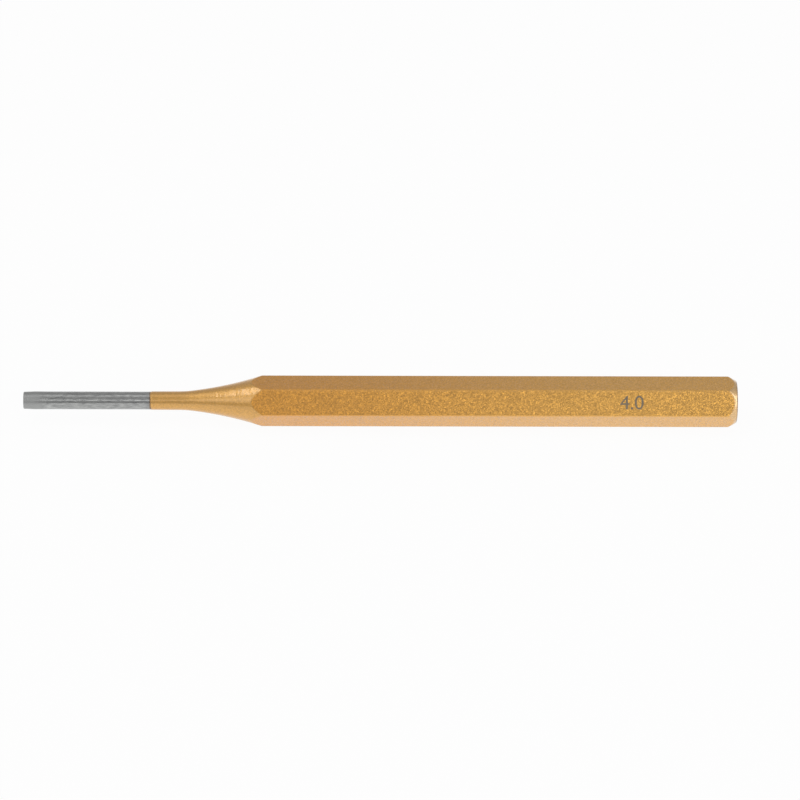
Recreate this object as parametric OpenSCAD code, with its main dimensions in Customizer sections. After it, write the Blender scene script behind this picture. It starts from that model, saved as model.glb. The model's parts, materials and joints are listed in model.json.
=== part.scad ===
// Pin punch: one steel forging, turned at both ends, under a thin gold powder coat.
// It lies on a flat of its hexagon, tip towards -X, with the origin under its middle.

/* [Pin] */
// Diameter of the bare, ground pin
pin_d = 4; // [3:0.5:6]
// Length of the bare pin, from the tip face to the edge of the coat
bare_l = 28.5; // [15:0.5:40]
// Length of the slight taper that leads the tip into a hole
lead_l = 2.5; // [1:0.5:6]
// How far that taper brings the pin in at the tip, on the radius
lead_drop = 0.1; // [0.05:0.05:0.3]
// Bevel that breaks the sharp edge of the tip face
tip_break = 0.1; // [0.05:0.05:0.4]

/* [Neck] */
// Length of the coated shank between the bare pin and the neck
shank_l = 6.4; // [3:0.1:15]
// How far the shank thickens along that length, on the radius
shank_rise = 0.03; // [0.01:0.01:0.1]
// Radius of the short hollow where the neck leaves the shank, over the coat
root_r = 24; // [10:1:60]
// Angle that the short hollow turns through
root_angle = 7; // [4:0.5:12]
// Radius of the long hollow that runs out on the hexagon, over the coat
flare_r = 86; // [50:1:150]

/* [Hexagon] */
// Length of the whole punch, over the coat
total_l = 160; // [120:1:220]
// Width across the flats, over the coat
hex_af = 10; // [8:0.5:14]
// How far the bar's sharp corners are worn down by drawing, on the radius
corner_drop = 0.07; // [0.03:0.01:0.2]

/* [Struck end] */
// Angle between the chamfer and the punch's axis
chamfer_angle = 30; // [25:1:50]
// Length of the chamfer along the axis
chamfer_l = 1.85; // [1:0.05:3]
// Radius that blends the chamfer into the struck face, over the coat
rim_r = 0.4; // [0.25:0.05:0.8]
// Diameter of the struck face's flat middle
flat_d = 3; // [1:0.5:6]
// How far the struck face falls away from that flat to its rim
crown_h = 0.12; // [0.05:0.01:0.3]

/* [Coat] */
// Thickness of the powder coat
coat_t = 0.08; // [0.06:0.01:0.15]

/* [Hidden] */
$fn = 180;
steel_colour = "#9a9a98";
gold_colour = "#c99a55";

// Largest gap between an arc of an outline and the chords that draw it
chord_gap = 0.004;

// Outlines are drawn over the coat, and the steel under it has the same outline shrunk by the coat.
over_coat = 0;
under_coat = -coat_t;

pin_r = pin_d / 2;
tip_r = pin_r - lead_drop;
lip_r = pin_r + coat_t;
neck_r = lip_r + shank_rise;
neck_z = bare_l + shank_l;
corner_r = hex_af / 2 / cos(30);
land_r = corner_r - corner_drop;

// The short hollow starts along the axis, and the long one carries on from it in the same direction.
root_centre = [neck_r + root_r, neck_z];
flare_centre = root_centre + (flare_r - root_r) * [cos(root_angle), -sin(root_angle)];

// The chamfer and the crowned face would meet in this corner, in a half section of radius and height.
flat_r = flat_d / 2;
rim = [land_r - chamfer_l * tan(chamfer_angle), total_l - crown_h];
crown_r = ((rim.x - flat_r) ^ 2 + crown_h ^ 2) / (2 * crown_h);
crown_centre = [flat_r, total_l - crown_r];

// The blend's centre lies rim_r under the chamfer, slid along it until it lies rim_r under the crown too.
chamfer_way = [sin(chamfer_angle), -cos(chamfer_angle)];
chamfer_out = [cos(chamfer_angle), sin(chamfer_angle)];
under_rim = rim - rim_r * chamfer_out;
from_crown = under_rim - crown_centre;
slope = from_crown * chamfer_way;
slide = -slope - sqrt(slope ^ 2 - from_crown * from_crown + (crown_r - rim_r) ^ 2);
blend_centre = under_rim + slide * chamfer_way;
crown_way = blend_centre - crown_centre;
crown_angle = atan2(crown_way.y, crown_way.x);

// Points along an arc from one direction to another, without its first
function arc(centre, radius, from, to) =
    let (
        turn = 2 * acos(1 - chord_gap / radius),
        steps = ceil(abs(to - from) / turn)
    )
    [for (i = [1:steps])
        let (angle = from + (to - from) * i / steps)
        centre + radius * [cos(angle), sin(angle)]];

// Direction in which the long hollow reaches the bar's corners
function runout_angle(grow) =
    acos((land_r + grow - flare_centre.x) / (flare_r - grow));

// Height at which the chamfer leaves the bar's corners
function chamfer_z(grow) =
    let (end = blend_centre + (rim_r + grow) * chamfer_out)
    end.y - (land_r + grow - end.x) / tan(chamfer_angle);

// Half outline of all that the coat covers, from its edge on the shank to the middle of the struck face
function coated_outline(grow) = concat(
    [[lip_r + grow, bare_l], [neck_r + grow, neck_z]],
    arc(root_centre, root_r - grow, 180, 180 - root_angle),
    arc(flare_centre, flare_r - grow, 180 - root_angle, runout_angle(grow)),
    [[land_r + grow, chamfer_z(grow)], blend_centre + (rim_r + grow) * chamfer_out],
    arc(blend_centre, rim_r + grow, chamfer_angle, crown_angle),
    arc(crown_centre, crown_r + grow, crown_angle, 90),
    [[0, total_l + grow]]
);

// Six-sided bar with two of its flats across X
module hex_bar(grow) {
    rotate(30) cylinder(r = (hex_af / 2 + grow) / cos(30), h = 2 * total_l, $fn = 6, center = true);
}

// The steel, standing on its tip
module steel_solid() {
    intersection() {
        hex_bar(under_coat);
        rotate_extrude() polygon(concat(
            [[0, 0], [tip_r - tip_break, 0], [tip_r, tip_break], [pin_r, lead_l]],
            coated_outline(under_coat)
        ));
    }
}

// Lays the standing punch down on a flat, tip towards -X
module lie_down() {
    translate([-total_l / 2, 0, hex_af / 2]) rotate([0, 90, 0]) children();
}

module steel_punch() {
    color(steel_colour) lie_down() steel_solid();
}

module powder_coat() {
    color(gold_colour) lie_down() difference() {
        intersection() {
            hex_bar(over_coat);
            rotate_extrude() polygon(concat([[0, bare_l]], coated_outline(over_coat)));
        }
        steel_solid();
    }
}

steel_punch();
powder_coat();
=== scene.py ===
# %% [markdown]
# # A pin punch under gold powder coat
#
# A pin punch drives pins out of their holes. This one is a single forging of tool steel, turned from
# hexagon bar: a bare ground pin, a neck that flares in two hollow curves, a six-sided body and a
# chamfered end that takes the hammer. A thin gold powder coat covers all of it but the pin.
# The CAD model gives every size, and this lesson gives the looks. It works in metres, in the CAD's
# own frame: the axis runs along X, the tip points to -X, and the punch lies on one of its flats.

# %% Load the frame
import json
import math

import bmesh
import bpy
from mathutils import Matrix, Quaternion, Vector


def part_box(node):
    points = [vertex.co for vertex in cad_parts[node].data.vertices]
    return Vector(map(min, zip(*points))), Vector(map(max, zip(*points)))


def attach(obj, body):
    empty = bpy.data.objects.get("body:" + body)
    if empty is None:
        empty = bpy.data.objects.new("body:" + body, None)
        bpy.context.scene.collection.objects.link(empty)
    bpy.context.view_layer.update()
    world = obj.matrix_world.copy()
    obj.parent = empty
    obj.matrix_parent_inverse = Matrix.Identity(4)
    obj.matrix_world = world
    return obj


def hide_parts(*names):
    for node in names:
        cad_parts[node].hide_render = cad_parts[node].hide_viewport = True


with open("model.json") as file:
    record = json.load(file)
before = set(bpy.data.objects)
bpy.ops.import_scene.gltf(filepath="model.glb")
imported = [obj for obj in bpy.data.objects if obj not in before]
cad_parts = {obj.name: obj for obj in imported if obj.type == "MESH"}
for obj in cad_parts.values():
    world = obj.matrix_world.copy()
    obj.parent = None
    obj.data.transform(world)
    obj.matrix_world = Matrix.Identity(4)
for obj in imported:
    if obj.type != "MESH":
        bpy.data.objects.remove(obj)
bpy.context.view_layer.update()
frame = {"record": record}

MM = 0.001

# %% [markdown]
# ## Sizes
#
# The boxes of the two CAD nodes already tell most of the punch: the coat starts where the bare pin
# ends, its height is the width across the flats, and the steel lies lower by the coat's thickness.
# Reading them here means that nothing has to be fitted by eye. What no box shows, such as the two
# radii of the neck, is written down in millimetres where it is first needed.

# %% Read the sizes off the frame
steel_low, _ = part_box("steel_punch")
coat_low, coat_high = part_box("powder_coat")
mounts = {mount["name"]: mount for mount in frame["record"]["mounts"]}

tip_x = steel_low.x
axis_z = (coat_low.z + coat_high.z) / 2
total_length = coat_high.x - tip_x
bare_length = coat_low.x - tip_x
coat_thickness = steel_low.z - coat_low.z
flat_reach = (coat_high.z - coat_low.z) / 2
corner_reach = (coat_high.y - coat_low.y) / 2
pin_radius = mounts["driving_pin"]["dims"]["r_mm"] * MM
print("bare pin in mm:", round(bare_length / MM, 2), "coat:", round(coat_thickness / MM, 3))

# %% [markdown]
# ## The turned outline
#
# A lathe cuts the neck and the struck end, so both are known by half of their section: how far the
# surface lies from the axis at each station along it. The outline is drawn from arcs and lines, as
# the turner's drawing would be. The neck and the chamfer run on past the hexagon's corners, and the
# hexagon cuts them off later, which is how the scalloped edges of the real bar come about.

# %% Arcs and lines of a half section
def arc(centre, radius, start, stop, step):
    """Points after the first along an arc, as (station, radius), no further apart than step."""
    count = max(2, math.ceil(abs(stop - start) * radius / step))
    angles = [start + (stop - start) * i / count for i in range(1, count + 1)]
    return [centre + radius * Vector((math.sin(angle), math.cos(angle))) for angle in angles]


def line(start, stop, step):
    """Points after the first along a straight line, no further apart than step."""
    count = max(1, math.ceil((stop - start).length / step))
    return [start.lerp(stop, i / count) for i in range(1, count + 1)]


# %% Centres of the neck's two hollows
shank_length = 6.4 * MM
shank_rise = 0.03 * MM
root_radius = 24 * MM
root_angle = math.radians(7)
flare_radius = 86 * MM

lip_radius = pin_radius + coat_thickness
neck_radius = lip_radius + shank_rise
neck_station = bare_length + shank_length
root_turn = math.pi - root_angle
root_way = Vector((math.sin(root_turn), math.cos(root_turn)))
root_centre = Vector((neck_station, neck_radius + root_radius))
flare_centre = root_centre + (root_radius - flare_radius) * root_way
print("neck starts at", round(neck_station / MM, 2), "mm")

# %% Corner and blend of the struck end
chamfer_angle = math.radians(30)
chamfer_length = 1.85 * MM
rim_radius = 0.4 * MM
struck_flat = 1.5 * MM
crown_drop = 0.12 * MM

rim = Vector((total_length - crown_drop, corner_reach - chamfer_length * math.tan(chamfer_angle)))
crown_radius = ((rim.y - struck_flat) ** 2 + crown_drop ** 2) / (2 * crown_drop)
crown_centre = Vector((total_length - crown_radius, struck_flat))

# The blend's centre lies under the chamfer, slid along it until it lies as far under the crown.
chamfer_out = Vector((math.sin(chamfer_angle), math.cos(chamfer_angle)))
chamfer_way = Vector((-chamfer_out.y, chamfer_out.x))
under_rim = rim - rim_radius * chamfer_out
from_crown = under_rim - crown_centre
slope = from_crown.dot(chamfer_way)
reach_left = slope ** 2 - from_crown.length_squared + (crown_radius - rim_radius) ** 2
blend_centre = under_rim + (-slope - math.sqrt(reach_left)) * chamfer_way
crown_start = blend_centre - crown_centre
crown_angle = math.atan2(crown_start.x, crown_start.y)
print("crown radius in mm:", round(crown_radius / MM, 1))

# %% The outline from the coat's edge to the middle of the struck face
sixth = math.radians(60)
sharp_reach = flat_reach / math.cos(sixth / 2)
run_past = 0.25 * MM
past_corners = sharp_reach + run_past
# Steps are longer along the short hollow and the bar, and shorter round the rim.
root_stretch = 2
bar_stretch = 4
rim_stretch = 0.5


def coated_outline(grow, fine, coarse):
    """Half section over the coat, or under it where grow is below 0, with a fine and a coarse step."""
    flare_end = math.acos((past_corners + grow - flare_centre.y) / (flare_radius - grow))
    points = [Vector((bare_length, lip_radius + grow))]
    points += line(points[-1], Vector((neck_station, neck_radius + grow)), coarse)
    points += arc(root_centre, root_radius - grow, math.pi, root_turn, fine * root_stretch)
    points += arc(flare_centre, flare_radius - grow, root_turn, flare_end, fine)
    chamfer_end = blend_centre + (rim_radius + grow) * chamfer_out
    run_on = (past_corners + grow - chamfer_end.y) / chamfer_way.y
    points += line(points[-1], chamfer_end + run_on * chamfer_way, coarse * bar_stretch)
    points += line(points[-1], chamfer_end, fine)
    points += arc(blend_centre, rim_radius + grow, chamfer_angle, crown_angle, fine * rim_stretch)
    points += arc(crown_centre, crown_radius + grow, crown_angle, math.pi / 2, coarse)
    return points


shown_steps = (0.15 * MM, 0.5 * MM)
hidden_steps = (0.6 * MM, 1.5 * MM)
over_coat = coated_outline(0, *shown_steps)
under_coat = coated_outline(-coat_thickness, *hidden_steps)
print("outline points over the coat:", len(over_coat), "and under it:", len(under_coat))

# %% [markdown]
# ## The hexagon
#
# Cold-drawn bar has flat sides and slightly rounded corners, because the drawing die wears them. In
# a section across the axis, the bar's reach in a given direction follows from its flats by one
# cosine, and near a corner from a small circle. The turned outline and the hexagon could be cut with
# a Boolean modifier, but its edges would stay knife-sharp and its mesh ragged. Taking the lesser of
# the two reaches, eased a little where they cross, gives clean quads and the soft edge of a coat. The
# edge is crisp at the neck and softer at the chamfer, where the hammer and the powder round it more.

# %% Reach of the bar in each direction
corner_round = (sharp_reach - corner_reach) / (1 / math.cos(sixth / 2) - 1)


def hexagon_reach(angle, grow):
    """How far the bar reaches from its axis in one direction, with rounded corners."""
    off_corner = (angle + sixth / 2) % sixth - sixth / 2
    flat = flat_reach + grow
    small = corner_round + grow
    centre = (flat - small) / math.cos(sixth / 2)
    sideways = centre * math.sin(off_corner)
    tangent = math.atan2(small * math.sin(sixth / 2), centre + small * math.cos(sixth / 2))
    if abs(off_corner) < tangent:
        return centre * math.cos(off_corner) + math.sqrt(small ** 2 - sideways ** 2)
    return flat / math.cos(sixth / 2 - abs(off_corner))


def eased_least(turned, flat, ease):
    """The lesser of two reaches, with the edge where they cross rounded off."""
    overlap = max(ease - abs(turned - flat), 0)
    return min(turned, flat) - overlap ** 2 / (4 * ease)


print("reach at a corner in mm:", round(hexagon_reach(0, 0) / MM, 3))
print("reach at a flat in mm:", round(hexagon_reach(sixth / 2, 0) / MM, 3))

# %% Directions of a ring, closer together round the corners
corner_steps = 6
flat_steps = 26
corner_span = 2 * math.atan2(corner_round / 2, corner_reach)
flat_span = sixth - corner_span
ring_angles = []
for side in range(6):
    first = side * sixth - corner_span / 2
    ring_angles += [first + corner_span * i / corner_steps for i in range(corner_steps)]
    ring_angles += [first + corner_span + flat_span * i / flat_steps for i in range(flat_steps)]
print("points in a ring:", len(ring_angles), "corner radius in mm:", round(corner_round / MM, 3))

# %% [markdown]
# ## A skin of rings
#
# Both pieces are then skins drawn through rings: one ring for each point of an outline, one vertex
# for each direction. The first and the last ring are closed by a fan of triangles. A Screw modifier
# would turn the outline too, but only into round forms, and here every ring may be cut by the bar.

# %% Skin through rings
edge_ease = 0.06 * MM
struck_ease = 0.16 * MM


def skin(name, rings):
    """A closed mesh through rings of (station, radius, growth of the bar), shaded smooth."""
    form = bmesh.new()
    loops = []
    for station, radius, grow in rings:
        loop = []
        ease = struck_ease if station > total_length / 2 else edge_ease
        for angle in ring_angles:
            reach = eased_least(radius, hexagon_reach(angle, grow), ease)
            place = (tip_x + station, reach * math.cos(angle), axis_z + reach * math.sin(angle))
            loop.append(form.verts.new(place))
        loops.append(loop)
    for near, far in zip(loops, loops[1:]):
        for i in range(len(ring_angles)):
            form.faces.new((near[i - 1], near[i], far[i], far[i - 1]))
    for loop in (loops[0], loops[-1]):
        middle = form.verts.new((loop[0].co.x, 0, axis_z))
        for i in range(len(ring_angles)):
            form.faces.new((loop[i - 1], loop[i], middle))
    bmesh.ops.recalc_face_normals(form, faces=form.faces)
    data = bpy.data.meshes.new(name)
    form.to_mesh(data)
    form.free()
    data.shade_smooth()
    piece = bpy.data.objects.new(name, data)
    bpy.context.scene.collection.objects.link(piece)
    print(name, "has", len(data.polygons), "faces")
    return piece


# %% [markdown]
# ## The steel
#
# The punch itself is one piece of steel from the tip to the struck end. Only the pin shows, but the
# steel goes on under the coat, so that the model can be cut open or stripped. The pin is ground to
# size, with a slight taper that leads it into a hole, and the edge of its tip is broken by a stone.

# %% Make the steel
lead_length = 2.5 * MM
lead_drop = 0.1 * MM
tip_round = 0.12 * MM
face_step = 0.3 * MM
edge_step = 0.03 * MM
lead_step = 0.4 * MM
pin_step = 1 * MM

tip_radius = pin_radius - lead_drop
tip_centre = Vector((tip_round, tip_radius - tip_round))
pin_outline = line(Vector((0, 0)), Vector((0, tip_centre.y)), face_step)
pin_outline += arc(tip_centre, tip_round, -math.pi / 2, 0, edge_step)
pin_outline += line(pin_outline[-1], Vector((lead_length, pin_radius)), lead_step)
pin_outline += line(pin_outline[-1], Vector((bare_length, pin_radius)), pin_step)

steel_rings = [(point.x, point.y, -coat_thickness) for point in pin_outline + under_coat[1:-1]]
steel = skin("ground_steel_punch", steel_rings)

# %% [markdown]
# ## The coat
#
# Powder coat is sprayed on as dust and melted in an oven. It is a closed layer with an inside and an
# outside, so its outline runs out along the steel's surface and back over the top. At the pin it
# stops at a masking line: the lip is rounded by the melt, and it wanders a little round the pin.

# %% Make the coat
lip_length = 0.26 * MM
lip_steps = 6
lip_outline = []
for i in range(1, lip_steps + 1):
    share = i / lip_steps
    lip_height = coat_thickness * math.sin(math.pi / 2 * share)
    lip_outline.append(Vector((bare_length + lip_length * share, pin_radius + lip_height)))
inside = [(point.x, point.y, -coat_thickness) for point in reversed(under_coat[:-1])]
outside = [(point.x, point.y, 0) for point in lip_outline + over_coat[1:-1]]
coat = skin("gold_powder_coat", inside + outside)

# %% Let the lip wander
lip_sway = 0.06 * MM
lip_fade = 0.8 * MM
# Each wave round the pin has a count, a phase and a share of the sway.
lip_waves = ((2, 0.7, 1), (5, 2.1, 0.6), (9, 0, 0.4))
moved = 0
for vertex in coat.data.vertices:
    past_lip = vertex.co.x - coat_low.x
    if past_lip < lip_fade:
        angle = math.atan2(vertex.co.z - axis_z, vertex.co.y)
        sway = sum(share * math.sin(count * angle + phase) for count, phase, share in lip_waves)
        vertex.co.x += lip_sway * sway * (1 - max(past_lip, 0) / lip_fade)
        moved += 1
print("lip vertices moved:", moved)

# %% [markdown]
# ## The size mark
#
# A plain number printed on the flat that faces the reader gives the pin's diameter in millimetres.
# Pad print is a layer of ink a few hundredths of a millimetre thick. A text object set in Blender's
# own font and turned into a thin mesh gives it a true edge that stays sharp in every view.

# %% Print the size mark
mark_height = 3.1 * MM
ink_thickness = 0.015 * MM
# Half a unit each way makes the text one unit thick, which is then scaled to the ink's thickness.
half_unit = 0.5

words = bpy.data.curves.new("size_mark_words", "FONT")
words.body = format(2 * pin_radius / MM, ".1f")
words.align_x = "CENTER"
words.align_y = "CENTER"
words.extrude = half_unit
draft = bpy.data.objects.new("size_mark_draft", words)
bpy.context.scene.collection.objects.link(draft)
bpy.context.view_layer.update()
shaped = draft.evaluated_get(bpy.context.evaluated_depsgraph_get())
mark_data = bpy.data.meshes.new_from_object(shaped)
bpy.data.objects.remove(draft)

heights = [vertex.co.y for vertex in mark_data.vertices]
print_scale = mark_height / (max(heights) - min(heights))
mark_data.transform(Matrix.Diagonal((print_scale, print_scale, ink_thickness, 1)))
mark_data.name = "size_mark"
print("size mark:", words.body, "with", len(mark_data.polygons), "faces")

# %% Lay the size mark on the flat
mark_middle = 56.2 * MM
flat_slant = sixth / 2
flat_out = Vector((0, -math.cos(flat_slant), math.sin(flat_slant)))
flat_up = Vector((0, math.sin(flat_slant), math.cos(flat_slant)))
mark_place = Vector((mark_middle, 0, axis_z)) + (flat_reach + ink_thickness / 2) * flat_out
turn = Matrix((Vector((1, 0, 0)), flat_up, flat_out)).transposed().to_4x4()
mark_data.transform(Matrix.Translation(mark_place) @ turn)
size_mark = bpy.data.objects.new("size_mark", mark_data)
bpy.context.scene.collection.objects.link(size_mark)
print("size mark width in mm:", round(size_mark.dimensions.x / MM, 2))

# %% [markdown]
# ## Colours and nodes
#
# Colours are written as sRGB hex, as a paint card would give them, and shaders work in linear light,
# so one function turns the one into the other. A second function adds a node: its settings are
# properties of the node, and its inputs are either values or outputs of other nodes to link from.

# %% Helpers for materials
# A Mix node has sockets for numbers and for colours under the same names, so they go by place.
FACTOR, NUMBER_A, NUMBER_B, NUMBER_OUT = 0, 2, 3, 0
COLOUR_A, COLOUR_B, COLOUR_OUT = 6, 7, 2


def linear(hex_colour):
    """An sRGB hex colour as linear red, green, blue and alpha."""
    parts = [int(hex_colour[i:i + 2], 16) / 255 for i in (1, 3, 5)]
    return [c / 12.92 if c <= 0.04045 else ((c + 0.055) / 1.055) ** 2.4 for c in parts] + [1]


def add_node(tree, kind, inputs=None, **settings):
    """Adds a node with its settings, and sets or links its inputs."""
    node = tree.nodes.new(kind)
    for name, value in settings.items():
        setattr(node, name, value)
    for key, value in (inputs or {}).items():
        if isinstance(value, bpy.types.NodeSocket):
            tree.links.new(value, node.inputs[key])
        else:
            node.inputs[key].default_value = value
    return node


def new_material(name):
    """An empty material and its node tree."""
    material = bpy.data.materials.new(name)
    material.use_nodes = True
    material.node_tree.nodes.clear()
    return material, material.node_tree


print("middle grey in linear light:", round(linear("#808080")[0], 3))

# %% [markdown]
# ## Ground tool steel
#
# The pin is bare alloy tool steel, hardened to grey and then ground. Grinding leaves short lines
# along the pin and fainter ticks across it, so the steel mirrors the room only as soft bands: a dark
# one on top, then a pale line and a dark line along the middle. The first millimetres at the tip are
# rubbed dull. A thin brown line on the steel at the lip is partly dirt and partly painted shadow of
# the coat's edge. An image could hold such lines, but noise stretched along the pin has no seam and
# no end.

# %% Grinding lines along the pin
# Real grinding lines are about 0.03 mm wide, which is too fine to show, so they are drawn this coarse.
streak_length = 1.5 * MM
streak_width = 0.25 * MM
streak_detail = 3
streak_breakup = 0.6
streak_range = (0.3, 0.7)
calm_tip = (2 * MM, 6 * MM)

ground_steel, tree = new_material("ground_tool_steel")
place = add_node(tree, "ShaderNodeTexCoord").outputs["Object"]
along = add_node(tree, "ShaderNodeSeparateXYZ", {"Vector": place}).outputs["X"]
streak_scale = (1 / streak_length, 1 / streak_width, 1 / streak_width)
streak_place = add_node(tree, "ShaderNodeMapping", {"Vector": place, "Scale": streak_scale})
streaks = add_node(tree, "ShaderNodeTexNoise", {
    "Vector": streak_place.outputs["Vector"],
    "Scale": 1,
    "Detail": streak_detail,
    "Roughness": streak_breakup,
}).outputs["Fac"]
past_tip = add_node(tree, "ShaderNodeMapRange", {
    "Value": along,
    "From Min": tip_x + calm_tip[0],
    "From Max": tip_x + calm_tip[1],
}, interpolation_type="SMOOTHSTEP").outputs["Result"]
streaks = add_node(tree, "ShaderNodeMix", {
    FACTOR: past_tip,
    NUMBER_A: sum(streak_range) / 2,
    NUMBER_B: streaks,
}).outputs[NUMBER_OUT]
print("lines on the steel:", len(tree.nodes), "nodes")

# %% Ticks across the pin, and grooves from both
tick_width = 0.35 * MM
tick_length = 2.5 * MM
tick_detail = 1
groove_depth = 0.02 * MM
groove_strength = 0.5

tick_scale = (1 / tick_width, 1 / tick_length, 1 / tick_length)
tick_place = add_node(tree, "ShaderNodeMapping", {"Vector": place, "Scale": tick_scale})
ticks = add_node(tree, "ShaderNodeTexNoise", {
    "Vector": tick_place.outputs["Vector"],
    "Scale": 1,
    "Detail": tick_detail,
}).outputs["Fac"]
tick_marks = add_node(tree, "ShaderNodeMath", {0: ticks, 1: past_tip}, operation="MULTIPLY")
grooves = add_node(tree, "ShaderNodeMath", {0: streaks, 1: tick_marks.outputs[0]}, operation="ADD")
steel_bump = add_node(tree, "ShaderNodeBump", {
    "Height": grooves.outputs[0],
    "Strength": groove_strength,
    "Distance": groove_depth,
}).outputs["Normal"]
print("lines and ticks:", len(tree.nodes), "nodes")

# %% Greys of the steel, and its brown line of dirt and painted shadow
edge_dirt_and_shade_width = 0.45 * MM

steel_tone = add_node(tree, "ShaderNodeMapRange", {
    "Value": streaks,
    "From Min": streak_range[0],
    "From Max": streak_range[1],
})
streaked = add_node(tree, "ShaderNodeMix", {
    FACTOR: steel_tone.outputs["Result"],
    COLOUR_A: linear("#888989"),
    COLOUR_B: linear("#bcbdbb"),
}, data_type="RGBA").outputs[COLOUR_OUT]
# A brown band along the coat's edge: partly dirt, partly painted shadow of the coat's step.
edge_dirt_and_shade = add_node(tree, "ShaderNodeMapRange", {
    "Value": along,
    "From Min": coat_low.x - edge_dirt_and_shade_width,
    "From Max": coat_low.x,
}, interpolation_type="SMOOTHSTEP")
steel_with_dirt_and_shade = add_node(tree, "ShaderNodeMix", {
    FACTOR: edge_dirt_and_shade.outputs["Result"],
    COLOUR_A: streaked,
    COLOUR_B: linear("#8a6f54"),
}, data_type="RGBA").outputs[COLOUR_OUT]
print("lines, ticks and greys:", len(tree.nodes), "nodes")

# %% Gloss of the steel
dull_rough = 0.45
dark_rough = 0.28
bright_rough = 0.16

ground_rough = add_node(tree, "ShaderNodeMapRange", {
    "Value": streaks,
    "From Min": streak_range[0],
    "From Max": streak_range[1],
    "To Min": dark_rough,
    "To Max": bright_rough,
}).outputs["Result"]
steel_rough = add_node(tree, "ShaderNodeMix", {
    FACTOR: past_tip,
    NUMBER_A: dull_rough,
    NUMBER_B: ground_rough,
}).outputs[NUMBER_OUT]
shader = add_node(tree, "ShaderNodeBsdfPrincipled", {
    "Base Color": steel_with_dirt_and_shade,
    "Metallic": 1,
    "Roughness": steel_rough,
    "Normal": steel_bump,
})
add_node(tree, "ShaderNodeOutputMaterial", {"Surface": shader.outputs["BSDF"]})
print("ground steel:", len(tree.nodes), "nodes")

# %% [markdown]
# ## Gold metallic powder coat
#
# The coat is a clear polyester binder full of bronze-coloured flakes. Seen straight on, the flakes
# lie at all angles and sparkle as a fine grain. At a slant, the binder's own smooth surface takes
# over and mirrors the room in white. So the flakes tilt the base layer's normal, and the clear layer
# above it keeps a normal of its own, which only follows the slight orange peel of the melt.
#
# On the drawn flats the grain is coarse. On the turned neck and chamfer the flakes lie flatter, and
# on the neck the rings that the lathe left show through. A painted mask could tell the two kinds of
# surface apart, but the outline already does: what lies deeper than the neck's hollow or the
# chamfer's cone belongs to a flat, so the border falls on the scalloped edge by itself.

# %% Flakes
# Real flakes are about 0.04 mm across, which is far too fine to show, so they are drawn this coarse.
flake_size = 0.22 * MM
flake_shade = 0.13

gold_coat, tree = new_material("gold_metallic_powder_coat")
place = add_node(tree, "ShaderNodeTexCoord").outputs["Object"]
flakes = add_node(tree, "ShaderNodeTexVoronoi", {"Vector": place, "Scale": 1 / flake_size})
flake_ways = flakes.outputs["Color"]
flake_tone = add_node(tree, "ShaderNodeSeparateColor", {"Color": flake_ways}).outputs["Red"]
flake_value = add_node(tree, "ShaderNodeMapRange", {
    "Value": flake_tone,
    "To Min": 1 - flake_shade,
    "To Max": 1 + flake_shade,
}).outputs["Result"]
print("flakes:", len(tree.nodes), "nodes")

# %% Where the neck ends
scallop_edge = (0.01 * MM, 0.06 * MM)

along = add_node(tree, "ShaderNodeSeparateXYZ", {"Vector": place}).outputs["X"]
off_axis = add_node(tree, "ShaderNodeVectorMath", {
    0: place,
    1: (0, 1, 1),
    2: (0, 0, -axis_z),
}, operation="MULTIPLY_ADD").outputs["Vector"]
reach = add_node(tree, "ShaderNodeVectorMath", {0: off_axis}, operation="LENGTH").outputs["Value"]
section = add_node(tree, "ShaderNodeCombineXYZ", {"X": along, "Y": reach}).outputs["Vector"]
from_flare = add_node(tree, "ShaderNodeVectorMath", {
    0: section,
    1: (tip_x + flare_centre.x, flare_centre.y, 0),
}, operation="DISTANCE").outputs["Value"]
past_neck = add_node(tree, "ShaderNodeMapRange", {
    "Value": from_flare,
    "From Min": flare_radius + scallop_edge[0],
    "From Max": flare_radius + scallop_edge[1],
}, interpolation_type="SMOOTHSTEP").outputs["Result"]
print("flakes and neck:", len(tree.nodes), "nodes")

# %% Where the chamfer and the struck face start
chamfer_edge = (0.03 * MM, 0.09 * MM)
face_edge = (0.4 * MM, 0.6 * MM)

end_x = tip_x + total_length
chamfer_reach = chamfer_out.dot(Vector((tip_x, 0)) + rim)
to_chamfer = add_node(tree, "ShaderNodeVectorMath", {
    0: section,
    1: chamfer_out.to_3d(),
}, operation="DOT_PRODUCT").outputs["Value"]
under_chamfer = add_node(tree, "ShaderNodeMapRange", {
    "Value": to_chamfer,
    "From Min": chamfer_reach - chamfer_edge[0],
    "From Max": chamfer_reach - chamfer_edge[1],
}, interpolation_type="SMOOTHSTEP").outputs["Result"]
before_face = add_node(tree, "ShaderNodeMapRange", {
    "Value": along,
    "From Min": end_x - face_edge[0],
    "From Max": end_x - face_edge[1],
}, interpolation_type="SMOOTHSTEP").outputs["Result"]
before_chamfer = add_node(tree, "ShaderNodeMath", {
    0: under_chamfer,
    1: before_face,
}, operation="MULTIPLY").outputs[0]
on_bar = add_node(tree, "ShaderNodeMath", {
    0: past_neck,
    1: before_chamfer,
}, operation="MULTIPLY").outputs[0]
print("flakes, neck and chamfer:", len(tree.nodes), "nodes")

# %% Turning rings and orange peel
# Real turning rings lie about 0.1 mm apart, which is too fine to show, so they are drawn this coarse.
turning_pitch = 0.8 * MM
turning_length = 12 * MM
turning_fade = 8 * MM
turning_detail = 1
# The rings stand this many times as high as the orange peel.
turning_height = 28
peel_size = 1.4 * MM
peel_detail = 1
peel_depth = 0.03 * MM
peel_strength = 0.1

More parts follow.
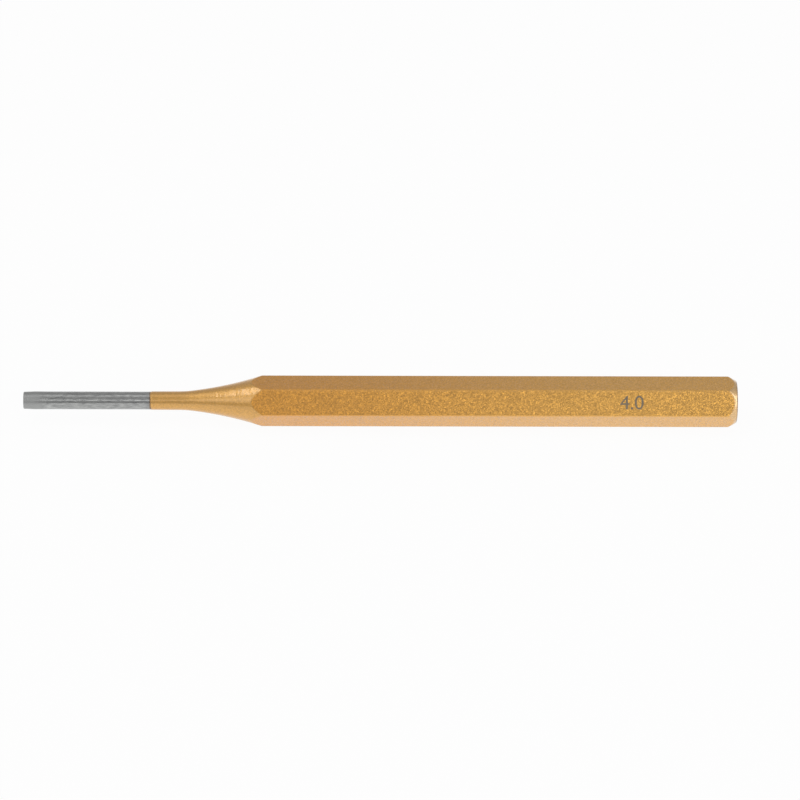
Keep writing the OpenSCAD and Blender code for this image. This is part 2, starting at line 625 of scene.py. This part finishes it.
turning_scale = (1 / turning_pitch, 1 / turning_length, 1 / turning_length)
turning_place = add_node(tree, "ShaderNodeMapping", {"Vector": place, "Scale": turning_scale})
turning = add_node(tree, "ShaderNodeTexNoise", {
    "Vector": turning_place.outputs["Vector"],
    "Scale": 1,
    "Detail": turning_detail,
})
on_neck = add_node(tree, "ShaderNodeMapRange", {
    "Value": along,
    "From Min": tip_x + neck_station,
    "From Max": tip_x + neck_station + turning_fade,
    "To Max": turning_height,
}, interpolation_type="SMOOTHSTEP").outputs["Result"]
off_bar = add_node(tree, "ShaderNodeMath", {0: 1, 1: past_neck}, operation="SUBTRACT").outputs[0]
ringed = add_node(tree, "ShaderNodeMath", {0: on_neck, 1: off_bar}, operation="MULTIPLY").outputs[0]
peel = add_node(tree, "ShaderNodeTexNoise", {
    "Vector": place,
    "Scale": 1 / peel_size,
    "Detail": peel_detail,
})
marked = add_node(tree, "ShaderNodeMath", {
    0: turning.outputs["Fac"],
    1: ringed,
    2: peel.outputs["Fac"],
}, operation="MULTIPLY_ADD")
peel_normal = add_node(tree, "ShaderNodeBump", {
    "Height": marked.outputs[0],
    "Strength": peel_strength,
    "Distance": peel_depth,
}).outputs["Normal"]
print("flakes, borders and rings:", len(tree.nodes), "nodes")

# %% Tilt of the flakes
flake_tilt = 0.38
turned_share = 0.25
# A flake's random colour runs from 0 to 1 in each channel, and this is its middle.
flake_middle = (0.5, 0.5, 0.5)

tilt = add_node(tree, "ShaderNodeMapRange", {
    "Value": on_bar,
    "To Min": turned_share * flake_tilt,
    "To Max": flake_tilt,
}).outputs["Result"]
centred = add_node(tree, "ShaderNodeVectorMath", {
    0: flake_ways,
    1: flake_middle,
}, operation="SUBTRACT").outputs["Vector"]
tilts = add_node(tree, "ShaderNodeVectorMath", {
    0: centred,
    "Scale": tilt,
}, operation="SCALE").outputs["Vector"]
tilted = add_node(tree, "ShaderNodeVectorMath", {
    0: tilts,
    1: peel_normal,
}, operation="ADD").outputs["Vector"]
flake_normal = add_node(tree, "ShaderNodeVectorMath", {0: tilted}, operation="NORMALIZE")
print("flakes with their tilt:", len(tree.nodes), "nodes")

# %% [markdown]
# The gold isn't one colour. It pales a little along the flats towards the struck end, which is partly
# the coat's own tone and partly painted light: a warm reflection at the tip end and brighter light
# towards the struck end. The neck is a little paler than the flat beside it, as painted sheen for
# the white reflection of the clear layer, and the chamfer is paler still, as a painted highlight.
# Round the rim of the struck face the coat is worn in patches, and the dark band there also paints
# the dark reflection of the rounded rim. One ramp along the bar could hold all of these, but a mix
# for each keeps them apart and easy to change.

# %% Golds of flats, neck and chamfer, with painted light and sheen
# The drift is partly the coat's own tone and partly painted light: a warm reflection at the tip end,
# brighter light towards the struck end.
tone_and_light_span = (-40 * MM, 60 * MM)

tone_and_light_drift = add_node(tree, "ShaderNodeMapRange", {
    "Value": along,
    "From Min": tone_and_light_span[0],
    "From Max": tone_and_light_span[1],
}, interpolation_type="SMOOTHSTEP").outputs["Result"]
flat_gold = add_node(tree, "ShaderNodeMix", {
    FACTOR: tone_and_light_drift,
    COLOUR_A: linear("#de9c3c"),
    COLOUR_B: linear("#e5ac50"),
}, data_type="RGBA").outputs[COLOUR_OUT]
# The paler neck gold is painted sheen: it stands in for more white reflection from the clear layer.
neck_sheen_gold = add_node(tree, "ShaderNodeMix", {
    FACTOR: past_neck,
    COLOUR_A: linear("#d9a555"),
    COLOUR_B: flat_gold,
}, data_type="RGBA").outputs[COLOUR_OUT]
# The pale chamfer gold is a painted highlight: it paints in the whiteness of the chamfer's highlight.
chamfer_highlight_gold = add_node(tree, "ShaderNodeMix", {
    FACTOR: before_chamfer,
    COLOUR_A: linear("#dfb880"),
    COLOUR_B: neck_sheen_gold,
}, data_type="RGBA").outputs[COLOUR_OUT]
print("flakes and golds:", len(tree.nodes), "nodes")

# %% Wear round the rim, with a painted dark reflection
wear_and_reflection_middle = 0.24 * MM
wear_and_reflection_width = 0.2 * MM
wear_and_reflection_patch = 1.3 * MM
wear_and_reflection_detail = 1
wear_and_reflection_least = 0.5
patch_range = (0.38, 0.6)

off_rim = add_node(tree, "ShaderNodeMath", {
    0: along,
    1: end_x - wear_and_reflection_middle,
}, operation="SUBTRACT").outputs[0]
from_rim = add_node(tree, "ShaderNodeMath", {0: off_rim}, operation="ABSOLUTE").outputs[0]
near_rim = add_node(tree, "ShaderNodeMapRange", {
    "Value": from_rim,
    "From Min": wear_and_reflection_width,
    "From Max": 0,
}, interpolation_type="SMOOTHSTEP").outputs["Result"]
patches = add_node(tree, "ShaderNodeTexNoise", {
    "Vector": place,
    "Scale": 1 / wear_and_reflection_patch,
    "Detail": wear_and_reflection_detail,
})
patchy = add_node(tree, "ShaderNodeMapRange", {
    "Value": patches.outputs["Fac"],
    "From Min": patch_range[0],
    "From Max": patch_range[1],
    "To Min": wear_and_reflection_least,
}).outputs["Result"]
worn_and_reflecting = add_node(tree, "ShaderNodeMath", {0: near_rim, 1: patchy}, operation="MULTIPLY").outputs[0]
# The dark brown is wear in patches and also a painted dark reflection of the rounded rim.
worn_and_reflecting_gold = add_node(tree, "ShaderNodeMix", {
    FACTOR: worn_and_reflecting,
    COLOUR_A: chamfer_highlight_gold,
    COLOUR_B: linear("#7d5f45"),
}, data_type="RGBA").outputs[COLOUR_OUT]
gold = add_node(tree, "ShaderNodeHueSaturation", {"Color": worn_and_reflecting_gold, "Value": flake_value})
print("flakes, golds and wear:", len(tree.nodes), "nodes")

# %% Gloss of the coat
turned_rough = 0.4
drawn_rough = 0.34
clear_rough = 0.16
clear_ior = 1.6

coat_rough = add_node(tree, "ShaderNodeMapRange", {
    "Value": on_bar,
    "To Min": turned_rough,
    "To Max": drawn_rough,
}).outputs["Result"]
shader = add_node(tree, "ShaderNodeBsdfPrincipled", {
    "Base Color": gold.outputs["Color"],
    "Metallic": 1,
    "Roughness": coat_rough,
    "Normal": flake_normal.outputs["Vector"],
    "Coat Weight": 1,
    "Coat Roughness": clear_rough,
    "Coat IOR": clear_ior,
    "Coat Normal": peel_normal,
})
add_node(tree, "ShaderNodeOutputMaterial", {"Surface": shader.outputs["BSDF"]})
print("gold coat:", len(tree.nodes), "nodes")

# %% [markdown]
# ## Pad-print ink
#
# The mark is printed in grey ink that is rolled on thin, so it takes up the grain of the coat below
# and isn't the same grey all over. It is a dull, non-metallic paint.

# %% Grey print ink
ink_blotch = 0.4 * MM
ink_detail = 2
ink_rough = 0.6

print_ink, tree = new_material("grey_print_ink")
place = add_node(tree, "ShaderNodeTexCoord").outputs["Object"]
blotches = add_node(tree, "ShaderNodeTexNoise", {
    "Vector": place,
    "Scale": 1 / ink_blotch,
    "Detail": ink_detail,
})
ink = add_node(tree, "ShaderNodeMix", {
    FACTOR: blotches.outputs["Fac"],
    COLOUR_A: linear("#6d6456"),
    COLOUR_B: linear("#92836a"),
}, data_type="RGBA").outputs[COLOUR_OUT]
shader = add_node(tree, "ShaderNodeBsdfPrincipled", {"Base Color": ink, "Roughness": ink_rough})
add_node(tree, "ShaderNodeOutputMaterial", {"Surface": shader.outputs["BSDF"]})
print("print ink:", len(tree.nodes), "nodes")

# %% [markdown]
# ## Dress the frame
#
# Each piece gets its material, rides on the one body that the punch has, and stands for its CAD node.

# %% Materials, bodies and nodes
for piece, material, node_name, slot_name in (
    (steel, ground_steel, "steel_punch", "ground_steel"),
    (coat, gold_coat, "powder_coat", "gold_powder_coat"),
):
    piece.data.materials.append(material)
    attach(piece, "root")
    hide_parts(node_name)
size_mark.data.materials.append(print_ink)
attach(size_mark, "root")

# %% [markdown]
# ## Floor and room
#
# The punch lies on a white table. To the camera and in reflections the table is mostly plain white,
# which Light Path tells apart, while the rest of its shader still takes the shadow. The room is an
# even grey, with a lighter backdrop low behind the punch and a dimmer wall low in front of it, which
# the pin mirrors as its dark line.

# %% White table
table_size = 6
table_cells = 2
table_white = 0.95

bpy.ops.mesh.primitive_grid_add(x_subdivisions=table_cells, y_subdivisions=table_cells, size=table_size)
table = bpy.context.object
table.name = "table"

white_table, tree = new_material("white_table")
path = add_node(tree, "ShaderNodeLightPath").outputs
seen = path["Is Camera Ray"]
for ray in ("Is Glossy Ray", "Is Transmission Ray"):
    seen = add_node(tree, "ShaderNodeMath", {0: seen, 1: path[ray]}, operation="MAXIMUM").outputs[0]
white_share = add_node(tree, "ShaderNodeMath", {0: seen, 1: table_white}, operation="MULTIPLY")
matt = add_node(tree, "ShaderNodeBsdfDiffuse", {"Color": linear("#f4f4f4")})
plain = add_node(tree, "ShaderNodeEmission", {"Color": linear("#ffffff"), "Strength": 1})
surface = add_node(tree, "ShaderNodeMixShader", {
    0: white_share.outputs[0],
    1: matt.outputs["BSDF"],
    2: plain.outputs["Emission"],
})
add_node(tree, "ShaderNodeOutputMaterial", {"Surface": surface.outputs["Shader"]})
table.data.materials.append(white_table)
print("table side in m:", table_size)

# %% Room
# A direction's dot product with one of these two vectors tells how near it points to that place.
to_backdrop = Vector((0, 1, -1.2))
backdrop_range = (0.25, 0.75)
to_wall = Vector((0, -1, -2.2))
wall_range = (0.1, 0.6)

room = bpy.data.worlds.new("room")
room.use_nodes = True
room.node_tree.nodes.clear()
bpy.context.scene.world = room
tree = room.node_tree
shade = linear("#bfbfbf")
way = add_node(tree, "ShaderNodeTexCoord").outputs["Generated"]
for toward, span, grey in (
    (to_backdrop, backdrop_range, "#d8d8d8"),
    (to_wall, wall_range, "#a6a6a6"),
):
    nearness = add_node(tree, "ShaderNodeVectorMath", {0: way, 1: toward}, operation="DOT_PRODUCT")
    mask = add_node(tree, "ShaderNodeMapRange", {
        "Value": nearness.outputs["Value"],
        "From Min": span[0],
        "From Max": span[1],
    }, interpolation_type="SMOOTHSTEP")
    shade = add_node(tree, "ShaderNodeMix", {
        FACTOR: mask.outputs["Result"],
        COLOUR_A: shade,
        COLOUR_B: linear(grey),
    }, data_type="RGBA").outputs[COLOUR_OUT]
sky = add_node(tree, "ShaderNodeBackground", {"Color": shade, "Strength": 1})
add_node(tree, "ShaderNodeOutputWorld", {"Surface": sky.outputs["Background"]})
print("room:", len(tree.nodes), "nodes")

# %% [markdown]
# ## Lamps
#
# Six soft boxes stand round the table, each for one thing that the photograph shows. A slim one high
# on the left puts the pale patch on the neck, and a square one fills in below it. A strip by the
# camera lights the grain of the front flat, and a dim one hangs overhead. On the right, a small square
# one brightens that flat towards the struck end, and a slanting strip lights the chamfer.

# %% Lamps
# Each lamp has a direction from the punch, a distance and two sides in metres, a roll and a radiance.
lamps = {
    "left_strip": (Vector((-0.54, -0.02, 0.84)), 0.8, (0.56, 0.12), 0, 2.9),
    "left_fill": (Vector((-0.55, -0.62, 0.55)), 0.8, (0.35, 0.35), 0, 0.9),
    "front_strip": (Vector((0, -0.79, 0.61)), 0.9, (0.7, 0.14), 0, 0.88),
    "ceiling": (Vector((0, 0.1, 1)), 0.9, (0.9, 0.4), 0, 0.4),
    "right_front": (Vector((0.45, -0.80, 0.40)), 0.9, (0.25, 0.25), 0, 1.75),
    "right_strip": (Vector((0.86, -0.36, 0.31)), 0.8, (0.26, 0.62), -40, 2.4),
}
for name, (direction, distance, sides, roll, radiance) in lamps.items():
    lamp = bpy.data.lights.new(name, "AREA")
    lamp.shape = "RECTANGLE"
    lamp.size, lamp.size_y = sides
    lamp.energy = radiance * math.pi * sides[0] * sides[1]
    holder = bpy.data.objects.new(name, lamp)
    holder.location = direction.normalized() * distance
    facing = direction.to_track_quat("Z", "Y")
    holder.rotation_euler = (facing @ Quaternion((0, 0, 1), math.radians(roll))).to_euler()
    bpy.context.scene.collection.objects.link(holder)
    print(name, "at", [round(c, 2) for c in holder.location])

# %% [markdown]
# ## Camera
#
# The photograph looks square on to the axis from about 35 degrees above the table, from a metre away
# with a long lens, so the punch runs level across the frame and its ends show no face.

# %% Camera
lens = 196.2
sensor_width = 36
nearest = 10 * MM
camera_distance = 978 * MM
camera_rise = math.radians(34.5)
camera_roll = math.radians(0.13)
aim = Vector((4.40 * MM, 0, axis_z + 0.3 * MM))

camera_data = bpy.data.cameras.new("camera")
camera_data.lens = lens
camera_data.sensor_width = sensor_width
camera_data.clip_start = nearest
camera = bpy.data.objects.new("camera", camera_data)
back = Vector((0, -math.cos(camera_rise), math.sin(camera_rise)))
camera.location = aim + camera_distance * back
level = back.to_track_quat("Z", "Y")
camera.rotation_euler = (level @ Quaternion((0, 0, 1), camera_roll)).to_euler()
bpy.context.scene.collection.objects.link(camera)
bpy.context.scene.camera = camera
bpy.context.scene.view_settings.view_transform = "Standard"
print("camera at", [round(c, 3) for c in camera.location])
